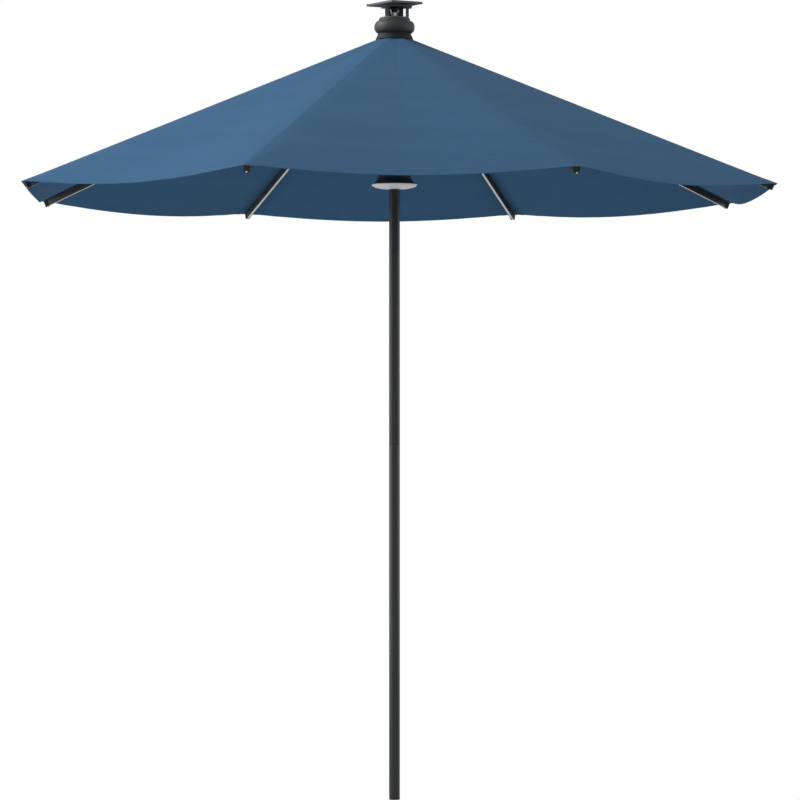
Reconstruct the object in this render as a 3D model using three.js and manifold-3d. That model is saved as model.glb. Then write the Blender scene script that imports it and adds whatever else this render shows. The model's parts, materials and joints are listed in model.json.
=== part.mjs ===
// A solar patio umbrella with eight lit ribs, a push-up runner and a lamp below the runner.
// Millimetres, +Z up. The origin is the middle of the pole's foot, and the canopy is open.
// The front panel of the canopy faces -Y, so the ribs stand on either side of it.
import * as THREE from "three";
import { mergeVertices } from "three/addons/utils/BufferGeometryUtils.js";
import Module from "manifold-3d";

const wasm = await Module();
wasm.setup();

// ---------- driving dimensions ----------

// Canopy: an eight-sided pyramid of cloth, stretched over the ribs.
const ribCount = 8;
const canopyRadius = 1371.6; // the pole's axis to a corner of the cloth: 9 ft across
const rimHeight = 2137; // ground to a corner of the cloth
const canopyRise = 564; // a corner of the cloth up to the pyramid's point
const clothThickness = 1;
const clothInnerRadius = 47; // the cloth ends here, clamped under the collar
const hemDroop = 28; // the hem's middle hangs this far below its corners
const hemDrawIn = 14; // and lies this far inside the line between them
const panelGap = 0.5; // between neighbouring panels, which are sewn together

// Pole: two tubes, the lower one necked down to plug into the upper one.
const poleDiameter = 38;
const poleWall = 1.5;
const poleSeatDepth = 8.7; // the pole stops this far below the underside of the top hub
const poleJoint = 1250;
const spigotLength = 80;
const footFlange = 3;
const footPlugLength = 30;

// Hinges of the ribs and struts.
const pivotRadius = 36; // the pole's axis to a rib's or a strut's pin
const tongueThickness = 7;
const pinRadius = 2.5;
const pinHole = 2.9;
const pinReach = 4; // how far a pin stands out of its tongue's cheek, past the slot's gap

// Ribs: box tubes with a channel along the underside for a light strip.
const ribWidth = 13;
const ribDepth = 21;
const ribWall = 1.5;
const ribBelowCloth = 15.5; // the ridge of the cloth down to the rib's centre line
const ribStart = 24; // hinge pin to the tube's end
const channelWidth = 8.6;
const channelDepth = 4;
const stripProud = 0.5;
const stripInset = 1; // the light strip's end lies this far inside the tip's face
const tipLength = 16;
const tipSetBack = 10; // a rib's tip ends this far inside the corner of the cloth
const tipWidth = 14.5;
const tipDepth = 22;
const strutReach = 500; // along the rib, from its pin to the strut's pin
const strutDrop = 18.5; // the strut's pin below the rib's centre line
const earWidth = 22;
const stripStandoff = 60; // strut's pin to the light strip's inner end

// Struts.
const strutDepth = 14;

// Top hub and finial.
const hubRadius = 50;
const hubHeight = 14;
const hubSleeveRadius = 22.8;
const hubSleeveLength = 24;
const studRadius = 8;
const collarBottomRadius = 66;
const collarTopRadius = 57.5;
const collarHeight = 22;
const knobRadius = 71.5;
const knobHeight = 42;
const knobWall = 3;
const shoulderRadius = 55;
const shoulderHeight = 9;
const bracketHeight = 45;
const bracketPlate = 4;
const bracketTopSide = 96;
const bracketTopShift = 8.5; // the top plate and cheeks stand off-centre by this much
const cheekDepth = 56;
const cheekSpan = 82; // outside to outside
const leftCheekWidth = 13;
const rightCheekWidth = 9;
const postWidth = 9;
const postFromRightCheek = 8.5;
const backPlateDepth = 6;
const nutHeight = 24;
const wingSpan = 18.5; // the pole's axis to a wing's tip
const wingThickness = 3;
const solarSide = 141;
const solarThickness = 8;
const solarTilt = 2; // degrees
const solarTurn = 37.5; // degrees from the square standing parallel to X
const cellThickness = 2;
const solarBorder = 6;

// Runner, its release and the lamp under it.
const runnerRadius = 50;
const runnerFloor = 4;
const neckRadius = 44;
const neckHeight = 18;
const chamberRadius = 39;
const chamberHeight = 9;
const runnerSleeveWall = 4;
const releaseTravel = 5;
const yokeThickness = 8;
const buttonWidth = 18;
const buttonProud = 9;
const padThickness = 3;
const springTurns = 4;
const springWire = 0.5;
const springRadius = 3;
const lampRadius = 80;
const lampWaistRadius = 57;
const lampTopRadius = 48;
const lampHeight = 59; // diffuser's rim up to the housing's top
const lampWall = 2;
const domeDepth = 16;
const boardThickness = 1.6;
const ledCount = 12;
const powerButtonRadius = 5;
const powerButtonTravel = 1.5;

// Clearances.
const touchGap = 0.3; // pieces that touch in the real object
const slideGap = 0.3; // sliding round the pole
const slotGap = 0.4; // each side of a tongue in its slot

// ---------- worked-out values ----------

const poleRadius = poleDiameter / 2;
const boreRadius = poleRadius + slideGap;
const apexHeight = rimHeight + canopyRise;
const pitch = Math.atan2(canopyRise, canopyRadius);
const pitchSlope = canopyRise / canopyRadius;
const halfGore = Math.PI / ribCount;
const clothHeightAt = (radius) => apexHeight - pitchSlope * radius;
const hubPivotHeight = clothHeightAt(pivotRadius) - ribBelowCloth;
const ribLength = (canopyRadius - tipSetBack - pivotRadius) / Math.cos(pitch);
const strutLength = Math.hypot(strutReach, strutDrop);
const strutAngle = pitch + Math.atan2(strutDrop, strutReach);
const runnerPivotHeight = hubPivotHeight - 2 * strutLength * Math.sin(strutAngle);
const hubTop = hubPivotHeight + hubHeight / 2;
const hubBottom = hubPivotHeight - hubHeight / 2;
const poleTop = hubBottom - poleSeatDepth;
const slotWidth = tongueThickness + 2 * slotGap;
const pinHalfLength = slotWidth / 2 + pinReach;
const ribAzimuth = (index) => -Math.PI / 2 - halfGore + 2 * halfGore * index;
const strutEye = strutDepth / 2;

// ---------- small tools ----------

const turnSegments = 32; // sides of a round body

const finish = (color, roughness, metalness = 0) =>
  new THREE.MeshStandardMaterial({ color, roughness, metalness });

const cloth = () => finish(0x4a6c8e, 0.9);
const framePaint = () => finish(0x2d2e30, 0.45, 0.2);
const polePaint = () => finish(0x36383b, 0.4, 0.3);
const blackPlastic = () => finish(0x1c1b1b, 0.6);
const greyPlastic = () => finish(0x303132, 0.5);
const whitePlastic = () => finish(0xd8d8d6, 0.4);
const rubber = () => finish(0x151515, 0.9);
const steel = () => finish(0xb4b6b8, 0.3, 0.9);
const silicon = () => finish(0x0e1420, 0.15);
const board = () => finish(0xe6e6e2, 0.5);

// A closed geometry as a solid that can be joined and cut.
function solid(geometry) {
  const plain = geometry.index ? geometry.toNonIndexed() : geometry.clone();
  plain.deleteAttribute("normal");
  plain.deleteAttribute("uv");
  const merged = mergeVertices(plain, 1e-4);
  return new wasm.Manifold(
    new wasm.Mesh({
      numProp: 3,
      vertProperties: new Float32Array(merged.attributes.position.array),
      triVerts: new Uint32Array(merged.index.array),
    }),
  );
}

const join = (...parts) => parts.reduce((whole, part) => whole.add(part));
const cut = (whole, ...tools) => tools.reduce((left, tool) => left.subtract(tool), whole);

function mesh(name, shape, material) {
  const made = shape.getMesh();
  const geometry = new THREE.BufferGeometry()
    .setAttribute("position", new THREE.BufferAttribute(made.vertProperties, 3))
    .setIndex(new THREE.BufferAttribute(made.triVerts, 1));
  geometry.computeVertexNormals();
  const result = new THREE.Mesh(geometry, material);
  result.name = name;
  return result;
}

// A block between two corners.
function block(low, high) {
  const size = high.map((value, axis) => value - low[axis]);
  const middle = high.map((value, axis) => (value + low[axis]) / 2);
  return solid(new THREE.BoxGeometry(...size).translate(...middle));
}

// A body turned about Z from a list of [radius, height] points, going anticlockwise.
function turned(points, segments = turnSegments) {
  const outline = [...points, points[0]].map(([radius, height]) => new THREE.Vector2(radius, height));
  return solid(new THREE.LatheGeometry(outline, segments).rotateX(Math.PI / 2));
}

// A round bar along Z, standing on a height.
function rod(radius, bottom, top, segments = turnSegments) {
  const bar = new THREE.CylinderGeometry(radius, radius, top - bottom, segments);
  return solid(bar.rotateX(Math.PI / 2).translate(0, 0, (bottom + top) / 2));
}

// A round bar along Y through a point of the XZ plane.
function crossPin(radius, x, z, halfLength) {
  const bar = new THREE.CylinderGeometry(radius, radius, 2 * halfLength, 8);
  return solid(bar.translate(x, 0, z));
}

// A plate in the XZ plane, drawn as a shape and thickened along Y about its middle.
function uprightPlate(shape, thickness, middle = 0) {
  const plate = new THREE.ExtrudeGeometry(shape, { depth: thickness, bevelEnabled: false, curveSegments: 5 });
  return solid(plate.rotateX(Math.PI / 2).translate(0, middle + thickness / 2, 0));
}

function rectangle(width, height, middleX = 0, middleY = 0) {
  const shape = new THREE.Shape();
  shape.moveTo(middleX - width / 2, middleY - height / 2);
  shape.lineTo(middleX + width / 2, middleY - height / 2);
  shape.lineTo(middleX + width / 2, middleY + height / 2);
  shape.lineTo(middleX - width / 2, middleY + height / 2);
  shape.closePath();
  return shape;
}

// A section in the YZ plane drawn as (y, z), run along X.
function runAlongX(shape, start, end) {
  const bar = new THREE.ExtrudeGeometry(shape, { depth: end - start, bevelEnabled: false });
  const toX = new THREE.Matrix4().makeBasis(
    new THREE.Vector3(0, 1, 0),
    new THREE.Vector3(0, 0, 1),
    new THREE.Vector3(1, 0, 0),
  );
  return solid(bar.applyMatrix4(toX).translate(start, 0, 0));
}

// The same solid turned about Z to each rib's side.
const atEachRib = (shape) =>
  Array.from({ length: ribCount }, (_, index) => shape.rotate([0, 0, (ribAzimuth(index) * 180) / Math.PI]));

const umbrella = new THREE.Group();

// A group that stands at a rib's side: +X out from the pole's axis, +Y along the ring of pins.
function ribSide(index) {
  const side = new THREE.Group();
  side.rotation.z = ribAzimuth(index);
  umbrella.add(side);
  return side;
}

// ---------- pole ----------

function buildPole() {
  const inside = poleRadius - poleWall;
  const spigot = inside - touchGap;
  const lower = turned([
    [spigot - poleWall, footFlange + touchGap],
    [poleRadius, footFlange + touchGap],
    [poleRadius, poleJoint],
    [spigot, poleJoint],
    [spigot, poleJoint + spigotLength],
    [spigot - poleWall, poleJoint + spigotLength],
  ]);
  const upper = turned([
    [inside, poleJoint + touchGap],
    [poleRadius, poleJoint + touchGap],
    [poleRadius, poleTop],
    [inside, poleTop],
  ]);
  const plugRadius = spigot - poleWall - touchGap;
  const plug = join(rod(poleRadius, 0, footFlange), rod(plugRadius, footFlange - 1, footPlugLength));
  umbrella.add(mesh("pole_lower", lower, polePaint()));
  umbrella.add(mesh("pole_upper", upper, polePaint()));
  umbrella.add(mesh("pole_foot_plug", plug, blackPlastic()));
}

// ---------- top hub ----------

const slotFloorRadius = pivotRadius - strutEye - 1;
const collarTop = hubTop + touchGap + collarHeight - 1.5;
const knobBase = collarTop + touchGap;
const knobTop = knobBase + knobHeight + shoulderHeight;
const bracketBase = knobTop + touchGap;
const nutBase = bracketBase + bracketPlate + touchGap;
const studTop = nutBase + nutHeight + 6;

function buildTopHub() {
  const body = turned([
    [boreRadius, hubBottom - hubSleeveLength],
    [hubSleeveRadius, hubBottom - hubSleeveLength],
    [hubSleeveRadius, hubBottom],
    [hubRadius, hubBottom],
    [hubRadius, hubTop - 3],
    [hubRadius - 3, hubTop],
    [studRadius, hubTop],
    [studRadius, studTop],
    [0, studTop],
    [0, poleTop + touchGap],
    [boreRadius, poleTop + touchGap],
  ]);
  const slot = block(
    [slotFloorRadius, -slotWidth / 2, hubBottom - 5],
    [hubRadius + 5, slotWidth / 2, hubTop + 5],
  );
  const hole = crossPin(pinHole, pivotRadius, hubPivotHeight, pinHalfLength + touchGap);
  const hub = cut(body, ...atEachRib(slot), ...atEachRib(hole));
  umbrella.add(mesh("top_hub", hub, framePaint()));
}

// ---------- finial: collar, knob, battery, solar head ----------

function buildFinial() {
  const seat = hubTop + touchGap;
  const rimUnderside = clothHeightAt(collarBottomRadius) + 1.7;
  const collar = turned([
    [studRadius + touchGap, seat],
    [40, seat],
    [42, seat + 7],
    [collarBottomRadius, rimUnderside],
    [collarBottomRadius, rimUnderside + 3],
    [collarTopRadius, collarTop - 1],
    [collarTopRadius - 1, collarTop],
    [studRadius + touchGap, collarTop],
  ]);
  umbrella.add(mesh("canopy_collar", collar, blackPlastic()));

  // The knob's bulge is half an ellipse between the collar and the shoulder.
  const bulge = Array.from({ length: 8 }, (_, step) => {
    const angle = (step / 7) * Math.PI - Math.PI / 2;
    const height = knobBase + (knobHeight / 2) * (1 + Math.sin(angle));
    return [collarTopRadius + (knobRadius - collarTopRadius) * Math.cos(angle), height];
  });
  const cavity = shoulderRadius - knobWall - 2;
  const knob = turned([
    [cavity, knobBase],
    ...bulge,
    [shoulderRadius, knobBase + knobHeight + 1],
    [shoulderRadius, knobTop - 1],
    [shoulderRadius - 1, knobTop],
    [studRadius + touchGap, knobTop],
    [studRadius + touchGap, knobTop - 2 * knobWall],
    [cavity, knobTop - 2 * knobWall],
  ]);
  umbrella.add(mesh("finial_knob", knob, greyPlastic()));

  const battery = turned([
    [studRadius + 3, collarTop + touchGap],
    [cavity - 4, collarTop + touchGap],
    [cavity - 4, knobTop - 2 * knobWall - 4],
    [studRadius + 3, knobTop - 2 * knobWall - 4],
  ]);
  umbrella.add(mesh("battery_pack", battery, blackPlastic()));

  // The bracket stands on the knob: a base plate, two cheeks, a post, a back plate and a top plate.
  const bracketTop = bracketBase + bracketHeight;
  const cheekLow = bracketBase + 1;
  const cheekHigh = bracketTop - 1;
  const halfTop = bracketTopSide / 2;
  const leftEdge = bracketTopShift - cheekSpan / 2;
  const rightEdge = bracketTopShift + cheekSpan / 2;
  const postEdge = rightEdge - rightCheekWidth - postFromRightCheek;
  const backStart = cheekDepth / 2 - 4 - backPlateDepth;
  const column = (fromX, toX, fromY, toY) => block([fromX, fromY, cheekLow], [toX, toY, cheekHigh]);
  const bracket = cut(
    join(
      rod(shoulderRadius - 4, bracketBase, bracketBase + bracketPlate),
      column(leftEdge, leftEdge + leftCheekWidth, -cheekDepth / 2, cheekDepth / 2),
      column(rightEdge - rightCheekWidth, rightEdge, -cheekDepth / 2, cheekDepth / 2),
      column(postEdge - postWidth, postEdge, backStart - 4, backStart + backPlateDepth),
      column(leftEdge + leftCheekWidth - 0.5, postEdge - 0.5, backStart, backStart + backPlateDepth),
      block(
        [bracketTopShift - halfTop - 5, -halfTop, bracketTop - bracketPlate],
        [bracketTopShift + halfTop + 5, halfTop, bracketTop],
      ),
    ),
    rod(studRadius + touchGap, bracketBase - 5, bracketBase + bracketPlate + 5),
  );
  const wing = new THREE.Shape();
  const wingTop = nutBase + nutHeight + 4;
  wing.moveTo(studRadius, nutBase);
  wing.quadraticCurveTo((studRadius + wingSpan) / 2, nutBase + 3, wingSpan, wingTop);
  wing.lineTo(wingSpan - 5, wingTop + 1);
  wing.quadraticCurveTo(studRadius + 1, wingTop - 6, studRadius - 1, nutBase + 9);
  wing.closePath();
  const rightWing = uprightPlate(wing, wingThickness).rotate([0, 0, 20]);
  const leftWing = rightWing.rotate([0, 0, 180]);
  const nut = cut(
    join(rod(studRadius + 4, nutBase, nutBase + nutHeight * 0.7, 16), rightWing, leftWing),
    rod(studRadius + touchGap, nutBase - 5, studTop + 20),
  );
  umbrella.add(mesh("solar_bracket", bracket, greyPlastic()));
  umbrella.add(mesh("wing_nut", nut, steel()));

  // The solar panel: a shallow square tray with the cell plate set into it, tilted a little.
  const head = new THREE.Group();
  const halfSide = solarSide / 2;
  const lift = (halfTop + 5 + bracketTopShift) * Math.tan((solarTilt * Math.PI) / 180) + touchGap;
  head.position.z = bracketTop + lift;
  head.rotation.y = (-solarTilt * Math.PI) / 180;
  const turnedHead = new THREE.Group();
  turnedHead.rotation.z = (solarTurn * Math.PI) / 180;
  const opening = halfSide - solarBorder;
  const tray = cut(
    block([-halfSide, -halfSide, 0], [halfSide, halfSide, solarThickness]),
    block(
      [-opening, -opening, solarThickness - cellThickness - touchGap],
      [opening, opening, solarThickness + 5],
    ),
  );
  const cellSide = opening - touchGap;
  const cell = block(
    [-cellSide, -cellSide, solarThickness - cellThickness],
    [cellSide, cellSide, solarThickness - touchGap],
  );
  turnedHead.add(mesh("solar_frame", tray, greyPlastic()));
  turnedHead.add(mesh("solar_cell", cell, silicon()));
  head.add(turnedHead);
  umbrella.add(head);
}

// ---------- ribs, tips and light strips ----------

const tubeEnd = ribLength - tipLength;
const stripStart = strutReach + stripStandoff;

function buildRib() {
  const halfWidth = ribWidth / 2;
  const halfDepth = ribDepth / 2;
  const halfChannel = channelWidth / 2;
  const section = new THREE.Shape();
  section.moveTo(-halfWidth, -halfDepth);
  section.lineTo(-halfChannel, -halfDepth);
  section.lineTo(-halfChannel, -halfDepth + channelDepth);
  section.lineTo(halfChannel, -halfDepth + channelDepth);
  section.lineTo(halfChannel, -halfDepth);
  section.lineTo(halfWidth, -halfDepth);
  section.lineTo(halfWidth, halfDepth);
  section.lineTo(-halfWidth, halfDepth);
  section.closePath();
  const hollowLow = -halfDepth + channelDepth + ribWall;
  const hollowHigh = halfDepth - ribWall;
  const hollow = rectangle(ribWidth - 2 * ribWall, hollowHigh - hollowLow, 0, (hollowHigh + hollowLow) / 2);
  section.holes.push(hollow);
  const tube = runAlongX(section, ribStart, tubeEnd);

  const tongueHalf = 5;
  const tongueShape = new THREE.Shape();
  tongueShape.moveTo(0, -tongueHalf);
  tongueShape.lineTo(ribStart + 1, -tongueHalf);
  tongueShape.lineTo(ribStart + 1, tongueHalf);
  tongueShape.lineTo(0, tongueHalf);
  tongueShape.absarc(0, 0, tongueHalf, Math.PI / 2, (3 * Math.PI) / 2, false);
  const insertWidth = ribWidth - 2 * ribWall + 0.4;
  const insert = block(
    [ribStart, -insertWidth / 2, hollowLow - 0.2],
    [ribStart + 20, insertWidth / 2, hollowHigh + 0.2],
  );

  const ear = new THREE.Shape();
  const earRound = strutEye + 0.4;
  ear.moveTo(strutReach + earWidth / 2, -halfDepth + channelDepth - 1);
  ear.lineTo(strutReach - earWidth / 2, -halfDepth + channelDepth - 1);
  ear.lineTo(strutReach - earRound, -strutDrop);
  ear.absarc(strutReach, -strutDrop, earRound, Math.PI, 2 * Math.PI, false);
  ear.closePath();
  const earThickness = halfWidth - slotWidth / 2;
  const earMiddle = (halfWidth + slotWidth / 2) / 2;
  const ears = [-earMiddle, earMiddle].map((middle) => uprightPlate(ear, earThickness, middle));

  const body = join(
    tube,
    insert,
    uprightPlate(tongueShape, tongueThickness),
    crossPin(pinRadius, 0, 0, pinHalfLength),
    ...ears,
  );
  return cut(body, crossPin(pinHole, strutReach, -strutDrop, ribWidth));
}

function buildRibTip() {
  const top = ribDepth / 2;
  const shell = block(
    [tubeEnd + touchGap, -tipWidth / 2, top - tipDepth],
    [ribLength, tipWidth / 2, top],
  );
  const hollowLow = -ribDepth / 2 + channelDepth + ribWall + touchGap;
  const hollowHigh = top - ribWall - touchGap;
  const plugHalf = ribWidth / 2 - ribWall - touchGap;
  const plug = block([tubeEnd - 25, -plugHalf, hollowLow], [tubeEnd + 2, plugHalf, hollowHigh]);
  // The channel runs on through the tip, so that the light strip reaches its face.
  const channel = block(
    [tubeEnd, -channelWidth / 2, top - tipDepth - 1],
    [ribLength + 1, channelWidth / 2, -ribDepth / 2 + channelDepth],
  );
  return cut(join(shell, plug), channel);
}

function buildLightStrip() {
  const floor = -ribDepth / 2 + channelDepth - touchGap;
  const half = channelWidth / 2 - touchGap;
  return block([stripStart, -half, -ribDepth / 2 - stripProud], [ribLength - stripInset, half, floor]);
}

function buildStrut() {
  // The bar runs along X from the rib's pin at x = 0 to the runner's pin.
  const shape = new THREE.Shape();
  shape.moveTo(0, -strutEye);
  shape.lineTo(strutLength, -strutEye);
  shape.absarc(strutLength, 0, strutEye, -Math.PI / 2, Math.PI / 2, false);
  shape.lineTo(0, strutEye);
  shape.absarc(0, 0, strutEye, Math.PI / 2, (3 * Math.PI) / 2, false);
  const earPinHalf = ribWidth / 2 - touchGap;
  return join(
    uprightPlate(shape, tongueThickness),
    crossPin(pinRadius, 0, 0, earPinHalf),
    crossPin(pinRadius, strutLength, 0, pinHalfLength),
  );
}

// ---------- canopy ----------

// A point of the cloth's outer face beside one rib. along: 0 at the point, 1 at the hem.
// across: -1 to 1, the middle of one gore to the middle of the next.
function clothPoint(along, across) {
  const side = Math.abs(across) / 2;
  const cornerX = canopyRadius * (1 - side + side * Math.cos(2 * halfGore));
  const cornerY = canopyRadius * side * Math.sin(2 * halfGore) * Math.sign(across);
  const sag = 4 * side * (1 - side) * along ** 3;
  const pull = 1 - (hemDrawIn * sag) / canopyRadius;
  const seam = Math.abs(across) === 1 ? panelGap / 2 : 0;
  const x = cornerX * along * pull + seam * Math.sin(halfGore);
  const y = cornerY * along * pull - seam * Math.cos(halfGore) * Math.sign(across);
  return [x, y, apexHeight - canopyRise * along - hemDroop * sag];
}

function buildPanel() {
  const rows = 5;
  const columns = 8;
  const innerAlong = clothInnerRadius / canopyRadius;
  const positions = [];
  const faces = [];
  for (const drop of [0, clothThickness]) {
    for (let row = 0; row <= rows; row++) {
      for (let column = 0; column <= columns; column++) {
        const along = innerAlong + (1 - innerAlong) * (row / rows);
        const [x, y, z] = clothPoint(along, (2 * column) / columns - 1);
        positions.push(x, y, z - drop);
      }
    }
  }
  const layer = (rows + 1) * (columns + 1);
  const at = (row, column, face) => face * layer + row * (columns + 1) + column;
  const quad = (a, b, c, d) => faces.push(a, b, c, a, c, d);
  for (let row = 0; row < rows; row++) {
    for (let column = 0; column < columns; column++) {
      quad(at(row, column, 0), at(row + 1, column, 0), at(row + 1, column + 1, 0), at(row, column + 1, 0));
      quad(at(row, column, 1), at(row, column + 1, 1), at(row + 1, column + 1, 1), at(row + 1, column, 1));
    }
    quad(at(row, 0, 0), at(row, 0, 1), at(row + 1, 0, 1), at(row + 1, 0, 0));
    quad(at(row, columns, 0), at(row + 1, columns, 0), at(row + 1, columns, 1), at(row, columns, 1));
  }
  for (let column = 0; column < columns; column++) {
    quad(at(0, column, 0), at(0, column + 1, 0), at(0, column + 1, 1), at(0, column, 1));
    quad(at(rows, column, 0), at(rows, column, 1), at(rows, column + 1, 1), at(rows, column + 1, 0));
  }
  const geometry = new THREE.BufferGeometry()
    .setAttribute("position", new THREE.Float32BufferAttribute(positions, 3))
    .setIndex(faces);
  return solid(geometry);
}

function buildRibSides() {
  const rib = buildRib();
  const tip = buildRibTip();
  const strip = buildLightStrip();
  const strut = buildStrut();
  const panel = buildPanel();
  for (let index = 0; index < ribCount; index++) {
    const number = index + 1;
    const side = ribSide(index);
    side.add(mesh(`canopy_panel_${number}`, panel, cloth()));

    const arm = new THREE.Group();
    arm.position.set(pivotRadius, 0, hubPivotHeight);
    arm.rotation.y = pitch;
    arm.add(mesh(`rib_${number}`, rib, framePaint()));
    arm.add(mesh(`rib_tip_${number}`, tip, blackPlastic()));
    arm.add(mesh(`light_strip_${number}`, strip, whitePlastic()));
    side.add(arm);

    // The strut leans in and down from the rib's pin to the runner's.
    const brace = new THREE.Group();
    brace.position.set(
      pivotRadius + strutLength * Math.cos(strutAngle),
      0,
      hubPivotHeight - strutLength * Math.sin(strutAngle),
    );
    brace.rotation.y = Math.PI - strutAngle;
    brace.add(mesh(`strut_${number}`, strut, framePaint()));
    side.add(brace);
  }
}

// ---------- runner and release ----------

const slotDepth = strutEye + 1;
const runnerBase = runnerPivotHeight - slotDepth - runnerFloor;
const runnerTop = runnerPivotHeight + strutEye;
const neckTop = runnerBase - touchGap;
const neckBase = neckTop - neckHeight;
const chamberBase = neckTop - chamberHeight;
const lampTop = neckBase - touchGap;
const lampRim = lampTop - lampHeight;
const sleeveRadius = boreRadius + runnerSleeveWall;

function buildRunner() {
  const body = turned([
    [boreRadius, runnerBase],
    [runnerRadius, runnerBase],
    [runnerRadius, runnerTop - 4],
    [runnerRadius - 4, runnerTop],
    [boreRadius, runnerTop],
  ]);
  const slot = block(
    [slotFloorRadius, -slotWidth / 2, runnerPivotHeight - slotDepth],
    [runnerRadius + 5, slotWidth / 2, runnerTop + 5],
  );
  const hole = crossPin(pinHole, pivotRadius, runnerPivotHeight, pinHalfLength + touchGap);
  umbrella.add(mesh("runner_hub", cut(body, ...atEachRib(slot), ...atEachRib(hole)), framePaint()));

  // The neck holds the release in a chamber that the hub closes, and the sleeve carries the lamp.
  const neck = turned([
    [boreRadius, lampRim + 14],
    [sleeveRadius, lampRim + 14],
    [sleeveRadius, neckBase],
    [neckRadius, neckBase],
    [neckRadius, neckTop],
    [chamberRadius, neckTop],
    [chamberRadius, chamberBase],
    [boreRadius, chamberBase],
  ]);
  const window = block(
    [-buttonWidth / 2 - slotGap, chamberRadius - 5, chamberBase],
    [buttonWidth / 2 + slotGap, neckRadius + 5, neckTop + 5],
  );
  umbrella.add(mesh("runner_body", cut(neck, window), blackPlastic()));
}

function buildRelease() {
  // A yoke round the pole. Its spring holds the pad against the pole until the button is pressed.
  const low = chamberBase + touchGap;
  const high = low + yokeThickness;
  const ringRadius = boreRadius + padThickness + 3;
  const eye = join(
    rod(boreRadius + padThickness, low - 5, high + 5),
    rod(boreRadius + padThickness, low - 5, high + 5).translate(0, releaseTravel, 0),
  );
  const yoke = cut(
    join(
      rod(ringRadius, low, high),
      rod(ringRadius, low, high).translate(0, releaseTravel, 0),
      block([-buttonWidth / 2, 20, low], [buttonWidth / 2, neckRadius + buttonProud, high]),
    ),
    eye,
  );
  umbrella.add(mesh("release_button", yoke, greyPlastic()));

  const padHalf = 8;
  const padRing = cut(
    rod(boreRadius + padThickness - touchGap, low + 1, high - 1),
    rod(boreRadius, low - 5, high + 5),
  );
  const padRegion = block([-padHalf, -ringRadius, low - 5], [padHalf, 0, high + 5]);
  umbrella.add(mesh("brake_pad", padRing.intersect(padRegion), rubber()));

  // The spring stands behind the pad, between the yoke and the chamber's wall.
  const springFrom = -ringRadius - touchGap - springWire;
  const springTo = -chamberRadius + 1.2 + springWire;
  const middle = (low + high) / 2;
  const coil = new THREE.Curve();
  coil.getPoint = (share) => {
    const angle = share * springTurns * 2 * Math.PI;
    const y = springFrom + (springTo - springFrom) * share;
    return new THREE.Vector3(springRadius * Math.cos(angle), y, middle + springRadius * Math.sin(angle));
  };
  const wire = new THREE.Shape().absarc(0, 0, springWire, 0, 2 * Math.PI);
  const spring = new THREE.ExtrudeGeometry(wire, {
    steps: springTurns * 8,
    curveSegments: 3,
    bevelEnabled: false,
    extrudePath: coil,
  });
  umbrella.add(mesh("release_spring", solid(spring), steel()));
}

// ---------- lamp ----------

function buildLamp() {
  // The housing's outline narrows in a hollow curve from the rim to the waist.
  const flare = (radius, rise) =>
    Array.from({ length: 6 }, (_, step) => {
      const share = step / 5;
      const narrowing = Math.sin((share * Math.PI) / 2);
      return [radius - (lampRadius - 5 - lampWaistRadius) * narrowing, lampRim + rise * share];
    });
  const waistHeight = 31;
  const outside = flare(lampRadius - 5, waistHeight);
  const inside = flare(lampRadius - 5 - lampWall, waistHeight).reverse();
  const shell = turned([
    ...outside,
    [lampTopRadius, lampTop],
    [sleeveRadius + touchGap, lampTop],
    [sleeveRadius + touchGap, lampTop - 3],
    [lampTopRadius - lampWall, lampTop - 3],
    ...inside,
  ]);
  const buttonHeight = lampRim + waistHeight + 8;
  const hole = rod(powerButtonRadius + slotGap, 0, 200, 16).rotate([-90, 0, 0]).translate(0, 0, buttonHeight);
  umbrella.add(mesh("lamp_housing", cut(shell, hole), blackPlastic()));

  // The diffuser is a shallow bowl, hung upside down under the housing.
  const rimTop = lampRim - touchGap;
  const centre = boreRadius + 0.5;
  const bowl = (radius, depth) =>
    Array.from({ length: 6 }, (_, step) => {
      const share = step / 5;
      const at = centre + (radius - centre) * share;
      return [at, rimTop - 0.6 - depth * Math.sqrt(1 - (share * 0.995) ** 2)];
    });
  const diffuser = turned([
    ...bowl(lampRadius, domeDepth),
    [lampRadius, rimTop],
    [lampRadius - 8, rimTop],
    ...bowl(lampRadius - 6, domeDepth - 2).reverse(),
  ]);
  umbrella.add(mesh("lamp_diffuser", diffuser, whitePlastic()));

  const boardBase = lampRim + 10;
  const ledRing = Array.from({ length: ledCount }, (_, step) =>
    block([48, -2.5, boardBase - 1.2], [53, 2.5, boardBase + 0.5]).rotate([0, 0, (step * 360) / ledCount]),
  );
  const ring = cut(
    rod(lampWaistRadius + 4, boardBase, boardBase + boardThickness, 36),
    rod(sleeveRadius + 2, boardBase - 5, boardBase + 5, 24),
  );
  umbrella.add(mesh("lamp_led_board", join(ring, ...ledRing), board()));

  const capInner = lampWaistRadius - 12;
  const capOuter = lampWaistRadius + powerButtonTravel;
  const cap = join(
    rod(powerButtonRadius, capInner, capOuter, 16),
    rod(powerButtonRadius + 1.5, capInner, capInner + 1, 16),
  ).rotate([-90, 0, 0]);
  umbrella.add(mesh("power_button", cap.translate(0, 0, buttonHeight), rubber()));
}

buildPole();
buildTopHub();
buildFinial();
buildRibSides();
buildRunner();
buildRelease();
buildLamp();

export default umbrella;
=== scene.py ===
# %% [markdown]
# # A patio umbrella with a solar head and lit ribs
# The umbrella is already designed: its tubes, hinges and sizes come in as a fixed frame.
# This lesson gives every piece its real surface: woven cloth, powder-coated tube, moulded
# plastic, opal lenses. Everything is in metres, and +Z is up.

# %% Load the frame
import json

import bmesh
import bpy
import numpy as np
from mathutils import Matrix, Vector


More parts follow.
